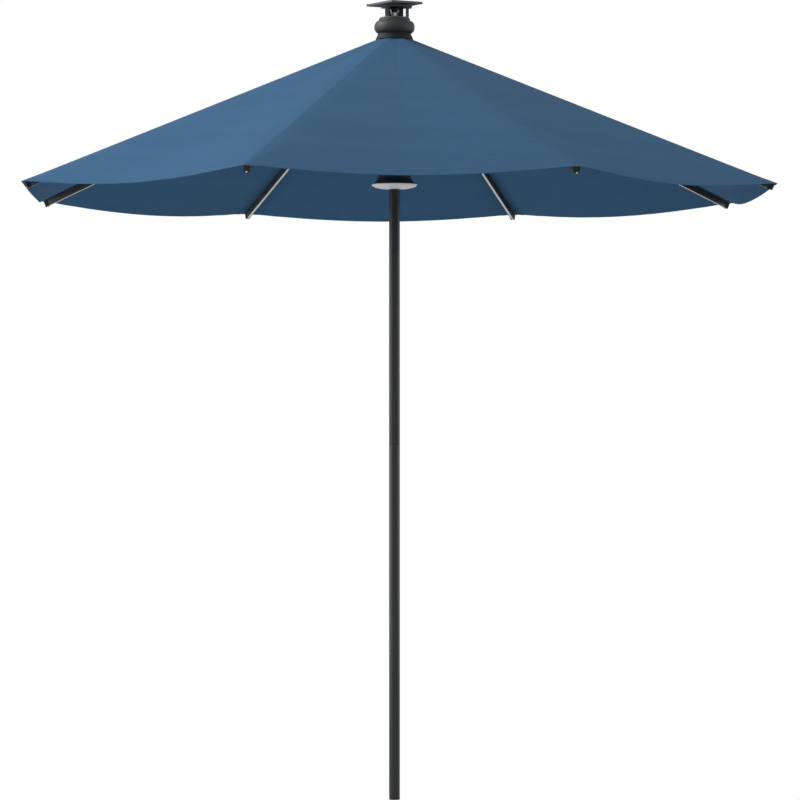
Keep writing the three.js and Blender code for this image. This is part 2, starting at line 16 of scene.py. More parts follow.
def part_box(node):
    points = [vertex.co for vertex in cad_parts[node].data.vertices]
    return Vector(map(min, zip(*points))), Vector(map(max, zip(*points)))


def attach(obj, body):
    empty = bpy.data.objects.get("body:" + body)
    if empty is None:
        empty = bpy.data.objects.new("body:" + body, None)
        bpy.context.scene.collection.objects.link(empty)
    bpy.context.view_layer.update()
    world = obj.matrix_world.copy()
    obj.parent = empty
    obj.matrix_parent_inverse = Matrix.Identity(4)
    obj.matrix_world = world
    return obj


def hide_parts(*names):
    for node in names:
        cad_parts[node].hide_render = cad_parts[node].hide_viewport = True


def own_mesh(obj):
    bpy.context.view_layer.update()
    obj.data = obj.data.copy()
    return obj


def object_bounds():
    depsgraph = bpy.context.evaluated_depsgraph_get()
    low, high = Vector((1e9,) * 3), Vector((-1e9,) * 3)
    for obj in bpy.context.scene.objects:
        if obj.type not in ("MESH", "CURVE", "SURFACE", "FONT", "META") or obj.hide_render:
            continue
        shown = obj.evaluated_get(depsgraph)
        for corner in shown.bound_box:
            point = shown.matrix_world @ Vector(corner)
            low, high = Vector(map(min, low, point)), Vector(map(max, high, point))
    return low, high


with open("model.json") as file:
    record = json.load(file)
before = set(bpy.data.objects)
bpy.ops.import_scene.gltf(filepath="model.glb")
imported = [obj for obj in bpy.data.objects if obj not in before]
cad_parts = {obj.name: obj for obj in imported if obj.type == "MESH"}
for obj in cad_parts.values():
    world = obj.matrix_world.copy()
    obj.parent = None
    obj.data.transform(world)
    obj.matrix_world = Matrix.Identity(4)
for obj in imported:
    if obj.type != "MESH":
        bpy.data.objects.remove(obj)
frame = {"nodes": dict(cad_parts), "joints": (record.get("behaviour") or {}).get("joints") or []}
cad_low, cad_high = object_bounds()
scene = bpy.context.scene
print("the frame's box is", np.round(cad_low, 3), "to", np.round(cad_high, 3))

# %% [markdown]
# ## What the frame says
# Places and sizes are read from the frame and never typed twice. A hinge gives its point
# and its axis, and a node's box gives its lowest and highest corner. The ribs stand at
# equal angles, and the first one's hinge says where they start.

# %% Read the driving sizes
MM = 0.001
RIBS = 8
joints = {joint["name"]: joint for joint in frame["joints"]}


def node_box(name):
    """The lowest and highest corner of a node, as two arrays."""
    low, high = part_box(name)
    return np.array(low, float), np.array(high, float)


def mesh_points(mesh):
    """A mesh's vertices as an array with one row for each."""
    points = np.zeros(len(mesh.vertices) * 3)
    mesh.vertices.foreach_get("co", points)
    return points.reshape(-1, 3)


first_pivot = np.array(joints["canopy_fold"]["pos_m"], float)
pivot_radius = float(np.hypot(first_pivot[0], first_pivot[1]))
pivot_height = float(first_pivot[2])
first_azimuth = float(np.arctan2(first_pivot[1], first_pivot[0]))
half_gore = np.pi / RIBS


def rib_azimuth(number):
    """The angle of a rib about the pole, counted from +X, for ribs 1 to 8."""
    return first_azimuth + 2 * half_gore * (number - 1)


def rib_hinge(number):
    """A rib's pin: its direction, level and square to the rib, and its middle."""
    angle = rib_azimuth(number)
    pin = (pivot_radius * np.cos(angle), pivot_radius * np.sin(angle), pivot_height)
    return (-np.sin(angle), np.cos(angle), 0), pin


cloth_high = node_box("canopy_panel_3")[1]
cloth_radius = float(cloth_high[0] / np.cos(half_gore))
inner_radius = 47 * MM
rim_height = 2137 * MM
crown_rise = 564 * MM
apex_height = rim_height + crown_rise
rib_run = float(np.hypot(cloth_radius, apex_height - rim_height))
pitch = float(np.arctan2(apex_height - rim_height, cloth_radius))
print("cloth radius", round(cloth_radius, 4), "pitch", round(np.degrees(pitch), 2), "degrees")

# %% [markdown]
# ## Camera, floor and light
# A long lens stands far off at chest height and looks level at the pole, which keeps the
# pole's sides parallel. The whole surround is white. A level
# camera sees the umbrella above its middle, so the frame is shifted up a little.

# %% Place the camera
CAMERA_DISTANCE = 11.437
CAMERA_HEIGHT = 1.374
CAMERA_AZIMUTH = np.radians(-2.52)

camera = bpy.data.objects.new("camera", bpy.data.cameras.new("camera"))
scene.collection.objects.link(camera)
camera.location = (
    CAMERA_DISTANCE * np.sin(CAMERA_AZIMUTH),
    -CAMERA_DISTANCE * np.cos(CAMERA_AZIMUTH),
    CAMERA_HEIGHT,
)
camera.rotation_euler = (np.pi / 2, 0, CAMERA_AZIMUTH)
camera.data.sensor_width = 36
camera.data.lens = 146.1
camera.data.shift_x = 0.0069
camera.data.shift_y = 0.01175
camera.data.clip_end = 200
scene.camera = camera
print("camera at", [round(value, 3) for value in camera.location])


# %% Colours and nodes
def linear(hex_colour):
    """An sRGB colour such as '4A6C8E' as linear red, green, blue and alpha."""
    srgb = np.array([int(hex_colour[i : i + 2], 16) for i in (0, 2, 4)]) / 255
    light = np.where(srgb <= 0.04045, srgb / 12.92, ((srgb + 0.055) / 1.055) ** 2.4)
    return (*light.tolist(), 1.0)


def add(tree, kind, links=(), **settings):
    """Adds a node. A setting is a property or an input's value; a link is (input, socket)."""
    node = tree.nodes.new(kind)
    for name, value in settings.items():
        if hasattr(node, name):
            setattr(node, name, value)
        else:
            node.inputs[name.replace("_", " ")].default_value = value
    for name, socket in links:
        tree.links.new(socket, node.inputs[name])
    return node


def new_material(name):
    """An empty material: (material, its node tree, its output node)."""
    material = bpy.data.materials.new(name)
    material.use_nodes = True
    material.node_tree.nodes.clear()
    output = add(material.node_tree, "ShaderNodeOutputMaterial")
    return material, material.node_tree, output


def maths(tree, operation, first, second=None):
    """A Math node on one or two sockets or numbers, given back as its result's socket."""
    node = add(tree, "ShaderNodeMath", operation=operation)
    for place, value in enumerate((first, second)):
        if isinstance(value, bpy.types.NodeSocket):
            tree.links.new(value, node.inputs[place])
        elif value is not None:
            node.inputs[place].default_value = value
    return node.outputs[0]


def remap(tree, socket, low, high, from_low=0.0, from_high=1.0):
    """The socket's value carried from one span to another, within its ends."""
    node = add(tree, "ShaderNodeMapRange", [("Value", socket)])
    for name, value in {
        "From Min": from_low,
        "From Max": from_high,
        "To Min": low,
        "To Max": high,
    }.items():
        node.inputs[name].default_value = value
    return node.outputs["Result"]


def tinted(tree, colour, factor):
    """A colour multiplied by a socket's value."""
    node = add(tree, "ShaderNodeVectorMath", [(1, factor)], operation="MULTIPLY")
    node.inputs[0].default_value = linear(colour)[:3]
    return node.outputs["Vector"]


def noise(tree, vector, scale, detail):
    """The grey value of a noise texture."""
    node = add(tree, "ShaderNodeTexNoise", [("Vector", vector)], Scale=scale, Detail=detail)
    return node.outputs["Fac"]


def stretched(tree, vector, across, along):
    """A UV map in metres, counted in cells that are this many metres wide and long."""
    node = add(tree, "ShaderNodeMapping", [("Vector", vector)])
    node.inputs["Scale"].default_value = (1 / across, 1 / along, 1)
    return node.outputs["Vector"]


def uv_parts(tree, name):
    """The two numbers of a UV map, as a node with outputs X and Y."""
    flat = add(tree, "ShaderNodeUVMap", uv_map=name)
    return add(tree, "ShaderNodeSeparateXYZ", [("Vector", flat.outputs["UV"])]).outputs


# %% Floor and surround
FLOOR_HALF = 90
surround = bpy.data.worlds.new("studio")
scene.world = surround
surround.use_nodes = True
sky = surround.node_tree
sky.nodes.clear()
seen = add(sky, "ShaderNodeLightPath")
soft = add(sky, "ShaderNodeBackground", Color=linear("F4F8FA"), Strength=0.6)
white = add(sky, "ShaderNodeBackground", Color=(1, 1, 1, 1), Strength=1.0)
both = add(sky, "ShaderNodeMixShader", [(0, seen.outputs["Is Camera Ray"])])
sky.links.new(soft.outputs[0], both.inputs[1])
sky.links.new(white.outputs[0], both.inputs[2])
add(sky, "ShaderNodeOutputWorld", [("Surface", both.outputs[0])])

floor_material, tree, output = new_material("white_studio_floor")
seen = add(tree, "ShaderNodeLightPath")
matt = add(tree, "ShaderNodeBsdfDiffuse", Color=linear("BFC1C2"))
glow = add(tree, "ShaderNodeEmission", Color=(1, 1, 1, 1), Strength=1.0)
mixed = add(tree, "ShaderNodeMixShader", [(0, seen.outputs["Is Camera Ray"])])
tree.links.new(matt.outputs[0], mixed.inputs[1])
tree.links.new(glow.outputs[0], mixed.inputs[2])
tree.links.new(mixed.outputs[0], output.inputs["Surface"])

floor_mesh = bpy.data.meshes.new("studio_floor")
square = ((-1, -1), (1, -1), (1, 1), (-1, 1))
floor_corners = [(x * FLOOR_HALF, y * FLOOR_HALF, 0) for x, y in square]
floor_mesh.from_pydata(floor_corners, [], [(0, 1, 2, 3)])
floor_mesh.transform(Matrix.Translation((0, 0, cad_low[2] - 0.001)))
floor = bpy.data.objects.new("studio_floor", floor_mesh)
floor.data.materials.append(floor_material)
scene.collection.objects.link(floor)
scene.view_settings.view_transform = "Standard"


# %% Lights
def area_light(name, place, aim, size, power):
    """A square soft white light at a place, turned to face a point."""
    light = bpy.data.lights.new(name, "AREA")
    light.size = size
    light.energy = power
    lamp = bpy.data.objects.new(name, light)
    scene.collection.objects.link(lamp)
    lamp.location = place
    lamp.rotation_euler = (Vector(aim) - Vector(place)).to_track_quat("-Z", "Y").to_euler()


area_light("key_high_left", (-8.8, 1.0, 8.0), (0, 0, 2.4), 3.0, 900)
area_light("strip_left", (-7.0, -0.8, 1.7), (0, 0, 1.2), 4.6, 138)
area_light("strip_right", (7.0, 0.2, 1.7), (0, 0, 1.2), 4.6, 108)
print("lights", [light.name for light in bpy.data.lights])

# %% [markdown]
# ## Finishes
# Each finish starts from what the real surface is and how it was made. The colour is the
# paint's or the resin's own; the grain on it comes from a small pattern whose size is a
# real size in millimetres. A pattern below about two millimetres would vanish at this
# distance, so the finest ones are drawn a little coarser and say so.


# %% A grained finish
CLOUD_SIZE = 60 * MM


def grained(name, colour, roughness, grain_mm, depth_mm, vary=0.04, metallic=0.0, **more):
    """A surface with fine grain: noise of a real size moves the roughness, shade and height."""
    material, tree, output = new_material(name)
    place = add(tree, "ShaderNodeTexCoord").outputs["Object"]
    grain = noise(tree, place, 1 / (grain_mm * MM), 3.0)
    cloud = noise(tree, place, 1 / CLOUD_SIZE, 2.0)
    tint = tinted(tree, colour, remap(tree, cloud, 1 - vary, 1 + vary))
    gloss = remap(tree, grain, roughness - 0.05, roughness + 0.07)
    height = add(tree, "ShaderNodeBump", [("Height", grain)], Strength=0.6)
    height.inputs["Distance"].default_value = depth_mm * MM
    shader = add(
        tree,
        "ShaderNodeBsdfPrincipled",
        [
            ("Base Color", tint),
            ("Roughness", gloss),
            ("Normal", height.outputs["Normal"]),
        ],
        Metallic=metallic,
        **more,
    )
    tree.links.new(shader.outputs[0], output.inputs["Surface"])
    return material


# Polyester powder baked on aluminium: satin, with the faint orange peel of melted powder.
# Real orange peel is about 1 mm across, and is drawn at 2 mm so that it shows.
powder_coat = grained("powder_coated_aluminium", "3A3835", 0.42, 2.0, 0.03, IOR=1.5)
# The same on the steel pole, a shade lighter and smoother.
pole_coat = grained("powder_coated_steel_tube", "292A2B", 0.34, 2.4, 0.02, IOR=1.5)
# Glass-filled nylon, moulded in a spark-eroded tool: a dry, fine grain.
black_nylon = grained(
    "moulded_black_nylon", "232120", 0.68, 1.2, 0.05, IOR=1.53, Specular_IOR_Level=0.3
)
# ABS, moulded and lightly polished: broad soft highlights.
grey_abs = grained("moulded_charcoal_abs", "333536", 0.58, 1.6, 0.02, IOR=1.52)
# The same resin on the panel's tray and bracket, painted lighter: its paler colour is painted
# light that stands in for light on their shaded undersides.
abs_painted_lighter = grained("moulded_abs_painted_lighter", "585A5C", 0.62, 1.6, 0.02, IOR=1.52)
# A blacker ABS for the lamp: satin, so that the bell keeps a soft shine on its flare.
lamp_abs = grained("moulded_black_abs", "2C2E31", 0.5, 1.6, 0.02, IOR=1.52)
# Vulcanised rubber: dull and a little dusty.
black_rubber = grained("moulded_rubber", "141414", 0.8, 1.5, 0.06, IOR=1.52)
# Shrink film round the battery cells.
battery_film = grained("battery_shrink_film", "22324A", 0.3, 6.0, 0.05, IOR=1.5)
# Zinc plate on pressed steel: bright, with soft flow marks from the bath. Its pale colour is only
# partly metallic, and the diffuse part is a painted highlight that keeps the wing nut bright in
# the bracket's shade.
zinc_painted_highlight = grained("bright_zinc_painted_highlight", "F0F1F2", 0.42, 3.0, 0.03, vary=0.08, metallic=0.7)
# White solder mask on fibreglass board.
solder_mask = grained("white_solder_mask", "E9EAE6", 0.4, 2.0, 0.01, vary=0.02, IOR=1.5)
# Opal polycarbonate: milky all through, so light spreads inside it before it comes back.
opal_lens = grained(
    "opal_polycarbonate",
    "D6D2D2",
    0.35,
    2.0,
    0.01,
    vary=0.015,
    IOR=1.58,
    Subsurface_Weight=0.3,
    Subsurface_Scale=0.006,
    Emission_Color=linear("FFFFFF"),
    Emission_Strength=0.08,
)
print(len(bpy.data.materials), "materials so far")

# %% [markdown]
# ## Cloth
# Outdoor canopy cloth is a plain weave of dyed yarn. Slubs, the thicker places in the
# yarn, make faint level streaks, and the sewing leaves two rows of stitches beside each
# seam. The weave follows each gore's own middle line, as the cloth was cut, so the
# pattern reads a UV map measured in metres of flat cloth. A second UV map measures from
# the seam, and the stitches read that one.


# %% The woven cloth
HEM_WIDTH = 16 * MM
HEM_ROW = rib_run - HEM_WIDTH + 3 * MM
SLUB_LONG, SLUB_THICK = 60 * MM, 4 * MM
CLOUD_LONG, CLOUD_WIDE = 500 * MM, 120 * MM
SEAM_ROW = 5 * MM
STITCH_HALF = 0.6 * MM
STITCH_PITCH = 6 * MM
STITCH_SHARE = 0.72
THREAD = 2 * MM


def woven_cloth(name, colour, shade=1.0):
    """Plain weave with slubs: streaks along the weft, threads in the bump and stitches."""
    material, tree, output = new_material(name)
    flat = add(tree, "ShaderNodeUVMap", uv_map="flat_cloth").outputs["UV"]
    # Slubs are about 1 mm thick and 60 mm long; they are drawn 4 mm thick so that they show.
    slub = noise(tree, stretched(tree, flat, SLUB_LONG, SLUB_THICK), 1.0, 3.0)
    cloud = noise(tree, stretched(tree, flat, CLOUD_LONG, CLOUD_WIDE), 1.0, 4.0)
    streak = remap(tree, slub, 0.935 * shade, 1.065 * shade, 0.3, 0.7)
    patch = remap(tree, cloud, 0.96, 1.04, 0.3, 0.7)
    both = maths(tree, "MULTIPLY", streak, patch)

    # Stitches: two rows, 5 mm each side of the seam, in dashes of 6 mm drawn twice as thick.
    parts = uv_parts(tree, "from_seam")
    side = maths(tree, "ABSOLUTE", parts["X"])

    def dashes(length):
        """1 along a stitch and 0 in the gap that follows it."""
        beat = maths(tree, "FRACT", maths(tree, "DIVIDE", length, STITCH_PITCH))
        return maths(tree, "LESS_THAN", beat, STITCH_SHARE)

    def sewn_row(distance, line, length):
        """A dashed line where the distance is near the line's."""
        off = maths(tree, "ABSOLUTE", maths(tree, "SUBTRACT", distance, line))
        return maths(tree, "MULTIPLY", maths(tree, "LESS_THAN", off, STITCH_HALF), dashes(length))

    # One more row runs along the hem, 3 mm from the fold's inner edge.
    seam_rows = sewn_row(side, SEAM_ROW, parts["Y"])
    stitch = maths(tree, "MAXIMUM", seam_rows, sewn_row(parts["Y"], HEM_ROW, side))
    tone = maths(tree, "MULTIPLY", both, remap(tree, stitch, 1.0, 0.86))
    tint = tinted(tree, colour, tone)

    # The weave itself: threads half a millimetre apart, drawn at 2 mm.
    threads = stretched(tree, flat, THREAD, THREAD)
    check = add(tree, "ShaderNodeTexChecker", [("Vector", threads)], Scale=1.0)
    lumps = maths(tree, "ADD", check.outputs["Fac"], slub)
    raised = maths(tree, "SUBTRACT", lumps, stitch)
    height = add(tree, "ShaderNodeBump", [("Height", raised)], Strength=0.35, Distance=0.0004)
    shader = add(
        tree,
        "ShaderNodeBsdfPrincipled",
        [("Base Color", tint), ("Normal", height.outputs["Normal"])],
        Roughness=0.95,
        IOR=1.45,
        Specular_IOR_Level=0.12,
        Sheen_Weight=0.02,
        Sheen_Roughness=0.5,
    )
    tree.links.new(shader.outputs[0], output.inputs["Surface"])
    return material


cloth_blue = woven_cloth("solution_dyed_woven_cloth", "395F80")
webbing_blue = woven_cloth("woven_binding", "395F80", shade=0.97)


# %% Solar cells and light strips
CELL_WIDE, CELL_LONG = 21.3 * MM, 32 * MM
LED_PITCH = 17 * MM


def solar_cells(name):
    """Dark cells under glass: silver fingers a sixth of a cell apart, and gaps between cells."""
    material, tree, output = new_material(name)
    parts = uv_parts(tree, "plate")

    def lines(axis, spacing, width):
        """1 on lines that take up a share of their spacing, 0 between them."""
        turn = maths(tree, "FRACT", maths(tree, "DIVIDE", parts[axis], spacing))
        return maths(tree, "LESS_THAN", turn, width)

    gaps = maths(tree, "MAXIMUM", lines("X", CELL_WIDE, 0.035), lines("Y", CELL_LONG, 0.05))
    fine = maths(tree, "MULTIPLY", lines("X", CELL_WIDE / 6, 0.06), 0.35)
    drawn = maths(tree, "MAXIMUM", gaps, fine)
    colour = add(tree, "ShaderNodeMix", [("Factor", drawn)], data_type="RGBA")
    for socket in colour.inputs:
        if socket.type == "RGBA":
            socket.default_value = linear("0B1424") if socket.name == "A" else linear("8A93A0")
    result = [socket for socket in colour.outputs if socket.type == "RGBA"][0]
    shader = add(
        tree,
        "ShaderNodeBsdfPrincipled",
        [("Base Color", result)],
        Roughness=0.18,
        IOR=1.5,
        Coat_Weight=0.8,
        Coat_Roughness=0.03,
    )
    tree.links.new(shader.outputs[0], output.inputs["Surface"])
    return material


def lit_silicone(name):
    """A milky extrusion over a row of small LEDs that show as faint brighter spots."""
    material, tree, output = new_material(name)
    turn = maths(tree, "MULTIPLY", uv_parts(tree, "along_strip")["Y"], 2 * np.pi / LED_PITCH)
    spot = remap(tree, maths(tree, "COSINE", turn), 0.86, 1.0, -1.0, 1.0)
    tint = tinted(tree, "D6D8DA", spot)
    shader = add(
        tree,
        "ShaderNodeBsdfPrincipled",
        [("Base Color", tint), ("Emission Color", tint)],
        Roughness=0.45,
        IOR=1.41,
        Subsurface_Weight=0.25,
        Subsurface_Scale=0.003,
        Emission_Strength=0.12,
    )
    tree.links.new(shader.outputs[0], output.inputs["Surface"])
    return material


cells = solar_cells("solar_cells_under_glass")
strip_lens = lit_silicone("opal_silicone_extrusion")
print("all materials:", sorted(material.name for material in bpy.data.materials))

# %% [markdown]
# ## Surfaces from numbers
# A round piece is an outline turned about the pole. Real mouldings have no knife edges,
# so every corner of an outline is first replaced by a small arc, and the arcs catch the
# light as the real radii do. The grid of points is worked out as one array.


# %% Grids and turned bodies
def grid_faces(rows, columns, closed_rows, closed_columns, first=0, turn=False):
    """Faces of a grid of points as an array, each joining point (r, c) to its next neighbours."""
    last_row = rows if closed_rows else rows - 1
    last_column = columns if closed_columns else columns - 1
    row, column = np.meshgrid(np.arange(last_row), np.arange(last_column), indexing="ij")
    next_row, next_column = (row + 1) % rows, (column + 1) % columns
    corners = [
        row * columns + column,
        next_row * columns + column,
        next_row * columns + next_column,
        row * columns + next_column,
    ]
    faces = first + np.stack(corners, axis=-1).reshape(-1, 4)
    return faces[:, ::-1] if turn else faces


def tube_faces(rings, count):
    """Faces of a tube made of rings of so many points, closed by one flat face at each end."""
    faces = [list(face) for face in grid_faces(rings, count, False, True)]
    start = list(range(count))
    end = [(rings - 1) * count + i for i in range(count)][::-1]
    return faces + [start, end]


def make_object(name, points, faces, material, smooth=True):
    """A mesh object at the origin from an array of points and an array or list of faces."""
    mesh = bpy.data.meshes.new(name)
    corners = [list(map(int, face)) for face in faces]
    mesh.from_pydata(np.asarray(points, float).reshape(-1, 3), [], corners)
    mesh.update()
    mesh.polygons.foreach_set("use_smooth", np.full(len(mesh.polygons), bool(smooth)))
    mesh.materials.append(material)
    piece = bpy.data.objects.new(name, mesh)
    scene.collection.objects.link(piece)
    return piece


def face_out(piece):
    """Turns a closed mesh's faces outwards."""
    work = bmesh.new()
    work.from_mesh(piece.data)
    bmesh.ops.recalc_face_normals(work, faces=work.faces)
    if work.calc_volume(signed=True) < 0:
        bmesh.ops.reverse_faces(work, faces=work.faces)
    work.to_mesh(piece.data)
    work.free()
    return piece


def mark_sharp(piece, border):
    """Marks each edge whose two ends lie on the border as sharp, so that shading stops there."""
    ends = np.zeros(2 * len(piece.data.edges), dtype=np.int32)
    piece.data.edges.foreach_get("vertices", ends)
    sharp = np.isin(ends.reshape(-1, 2), border).all(axis=1)
    layer = piece.data.attributes.new("sharp_edge", "BOOLEAN", "EDGE")
    layer.data.foreach_set("value", sharp)


def add_uv(piece, name, values):
    """A UV map from one (u, v) pair for each vertex."""
    layer = piece.data.uv_layers.new(name=name)
    corner = np.zeros(len(piece.data.loops), dtype=np.int32)
    piece.data.loops.foreach_get("vertex_index", corner)
    layer.data.foreach_set("uv", np.asarray(values, float).reshape(-1, 2)[corner].ravel())


def shell(name, upper, lower, material):
    """A thin closed shell: a grid of points, a second one under it and a strip round the edge."""
    rows, columns = upper.shape[:2]
    count = rows * columns
    points = np.concatenate([upper.reshape(-1, 3), lower.reshape(-1, 3)])
    top = grid_faces(rows, columns, False, False)
    under = grid_faces(rows, columns, False, False, first=count, turn=True)
    index = np.arange(count).reshape(rows, columns)
    edge = np.concatenate([index[:, 0], index[-1, 1:], index[-2::-1, -1], index[0, -2:0:-1]])
    following = np.roll(edge, -1)
    rim = np.stack([edge, edge + count, following + count, following], axis=1)
    piece = face_out(make_object(name, points, np.concatenate([top, under, rim]), material))
    mark_sharp(piece, np.concatenate([edge, edge + count]))
    return piece


def rounded(outline, radius, steps=4):
    """A closed outline with each corner replaced by an arc: the quadratic curve between the
    points that lie the radius (or 45% of the shorter side) from the corner on both sides."""
    here = np.asarray(outline, float)
    before, after = np.roll(here, 1, axis=0), np.roll(here, -1, axis=0)
    back, ahead = before - here, after - here
    back_length = np.linalg.norm(back, axis=1, keepdims=True)
    ahead_length = np.linalg.norm(ahead, axis=1, keepdims=True)
    reach = np.minimum(radius, 0.45 * np.minimum(back_length, ahead_length))
    start = here + back / back_length * reach
    end = here + ahead / ahead_length * reach
    share = np.linspace(0, 1, steps)[None, :, None]
    curve = (
        (1 - share) ** 2 * start[:, None]
        + 2 * share * (1 - share) * here[:, None]
        + share**2 * end[:, None]
    )
    return curve.reshape(-1, 2)


def turned(name, outline, material, radius=0.8 * MM, segments=96):
    """An outline of (radius, height) turned about the pole: x = r cos a, y = r sin a, z = h."""
    loop = rounded(outline, radius)
    angle = np.linspace(0, 2 * np.pi, segments, endpoint=False)
    points = np.stack(
        [
            loop[:, None, 0] * np.cos(angle),
            loop[:, None, 0] * np.sin(angle),
            np.broadcast_to(loop[:, None, 1], (len(loop), segments)),
        ],
        axis=-1,
    )
    faces = grid_faces(len(loop), segments, True, True)
    piece = face_out(make_object(name, points, faces, material))
    print(name, len(piece.data.polygons), "faces")
    return piece


def place(piece, body, slot, *nodes):
    """The piece moves with a body and stands for its nodes; slot is not used."""
    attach(piece, body)
    if nodes:
        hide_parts(*nodes)
    return piece


# %% [markdown]
# ## Pole
# Two drawn steel tubes. The lower one is necked down at its top and slides into the upper
# one, so only a hairline shows. The outline of each tube is turned once, inside and out.

# %% The two tubes and the foot
lower_low, lower_high = node_box("pole_lower")
upper_low, upper_high = node_box("pole_upper")
pole_radius = float(upper_high[0])
wall = 1.5 * MM
gap = 0.3 * MM
inside = pole_radius - wall
spigot = inside - gap
joint_height = float(upper_low[2]) - gap
lower_tube = turned(
    "pole_lower_tube",
    [
        (spigot - wall, lower_low[2]),
        (pole_radius, lower_low[2]),
        (pole_radius, joint_height),
        (spigot, joint_height),
        (spigot, lower_high[2]),
        (spigot - wall, lower_high[2]),
    ],
    pole_coat,
    radius=0.5 * MM,
)
upper_tube = turned(
    "pole_upper_tube",
    [
        (inside, upper_low[2]),
        (pole_radius, upper_low[2]),
        (pole_radius, upper_high[2]),
        (inside, upper_high[2]),
    ],
    pole_coat,
    radius=0.5 * MM,
)
place(lower_tube, "mast", "pole_paint", "pole_lower")
place(upper_tube, "mast", "pole_paint", "pole_upper")

# %% [markdown]
# ## Finial
# The collar clamps the crown of the cloth. The knob above it is one fat moulding: half an
# ellipse between two plain bands. Its underside is hollow, for the battery.

# %% Collar and knob
collar_low, collar_high = node_box("canopy_collar")
knob_low, knob_high = node_box("finial_knob")
collar_radius = float(collar_high[0])
knob_radius = float(knob_high[0])
collar_top_radius = 57.5 * MM
shoulder_radius = 55 * MM
shoulder_height = 9 * MM
stud_bore = 8.3 * MM
under_rim = apex_height - np.tan(pitch) * collar_radius + 1.7 * MM
collar = turned(
    "crown_collar",
    [
        (stud_bore, collar_low[2] + 4 * MM),
        (40 * MM, collar_low[2] + 4 * MM),
        (42 * MM, collar_low[2] + 8 * MM),
        (collar_radius, under_rim),
        (collar_radius, under_rim + 3 * MM),
        (collar_top_radius + 1.5 * MM, collar_high[2] - 5 * MM),
        (collar_top_radius, collar_high[2]),
        (stud_bore, collar_high[2]),
    ],
    black_nylon,
    radius=1.2 * MM,
)
bulge_height = float(knob_high[2] - knob_low[2]) - shoulder_height
swing = np.linspace(-np.pi / 2, np.pi / 2, 25)
bulge = np.stack(
    [
        collar_top_radius + (knob_radius - collar_top_radius) * np.cos(swing),
        knob_low[2] + bulge_height / 2 * (1 + np.sin(swing)),
    ],
    axis=1,
)
cavity = shoulder_radius - 5 * MM
knob = turned(
    "finial_knob_moulding",
    [
        (cavity, knob_low[2]),
        *bulge,
        (shoulder_radius, knob_low[2] + bulge_height + 1 * MM),
        (shoulder_radius, knob_high[2]),
        (stud_bore, knob_high[2]),
        (stud_bore, knob_high[2] - 6 * MM),
        (cavity, knob_high[2] - 6 * MM),
    ],
    grey_abs,
    radius=1.2 * MM,
    segments=128,
)
place(collar, "mast", "black_plastic", "canopy_collar")
place(knob, "mast", "grey_plastic", "finial_knob")

# %% [markdown]
# ## Lamp
# The housing flares out like a bell, in a hollow curve: a quarter of a sine wave from the
# rim to the waist. The diffuser under it is a shallow bowl, part of an ellipse.

# %% Housing and diffuser
housing_low, housing_high = node_box("lamp_housing")
diffuser_high = node_box("lamp_diffuser")[1]
housing_radius = float(housing_high[0])
waist_radius = 57 * MM
top_radius = 48 * MM
housing_wall = 2 * MM
waist_height = 31 * MM
bore = pole_radius + 4.6 * MM
share = np.linspace(0, 1, 14)


def flare(start):
    """Radius falls from start by a quarter sine while the height rises evenly to the waist."""
    narrowing = (housing_radius - waist_radius) * np.sin(share * np.pi / 2)
    return np.stack([start - narrowing, housing_low[2] + waist_height * share], axis=1)


housing = turned(
    "lamp_bell",
    [
        *flare(housing_radius),
        (top_radius, housing_high[2]),
        (bore, housing_high[2]),
        (bore, housing_high[2] - 3 * MM),
        (top_radius - housing_wall, housing_high[2] - 3 * MM),
        *flare(housing_radius - housing_wall)[::-1],
    ],
    lamp_abs,
    radius=0.8 * MM,
    segments=128,
)
lamp_radius = float(diffuser_high[0])
lens_bore = pole_radius + 0.8 * MM
dome_depth = 16 * MM


def bowl(radius, depth):
    """Radius grows evenly from the bore while the depth follows an ellipse."""
    reach = lens_bore + (radius - lens_bore) * share
    below_rim = 0.6 * MM + depth * np.sqrt(1 - (0.995 * share) ** 2)
    return np.stack([reach, diffuser_high[2] - below_rim], axis=1)


diffuser = turned(
    "lamp_lens",
    [
        *bowl(lamp_radius, dome_depth),
        (lamp_radius, diffuser_high[2]),
        (lamp_radius - 8 * MM, diffuser_high[2]),
        *bowl(lamp_radius - 6 * MM, dome_depth - 2 * MM)[::-1],
    ],
    opal_lens,
    radius=0.8 * MM,
    segments=128,
)
place(housing, "runner", "black_plastic", "lamp_housing")
place(diffuser, "runner", "diffuser", "lamp_diffuser")

# %% [markdown]
# ## Canopy
# The canopy is one cloth of eight gores, sewn together over the ribs and pulled tight. It
# folds with the ribs, so it is made as eight pieces that each ride on one rib and meet in
# the middle of a gore, where the cloth runs on without a seam. Both neighbours work out
# that edge from the same formula, so it closes exactly. The gores hang a little between
# the ribs, more towards the hem, and the hem is drawn in because the cloth is cut on a
# curve. Small pulls fan out from each corner, where the rib's tip stretches the cloth.

# %% The cloth's shape
droop = 28 * MM
draw_in = 14 * MM
ridge_round = 20 * MM
crown_round = 36 * MM
corner_point = 4 * MM
cloth_gauge = 0.6 * MM


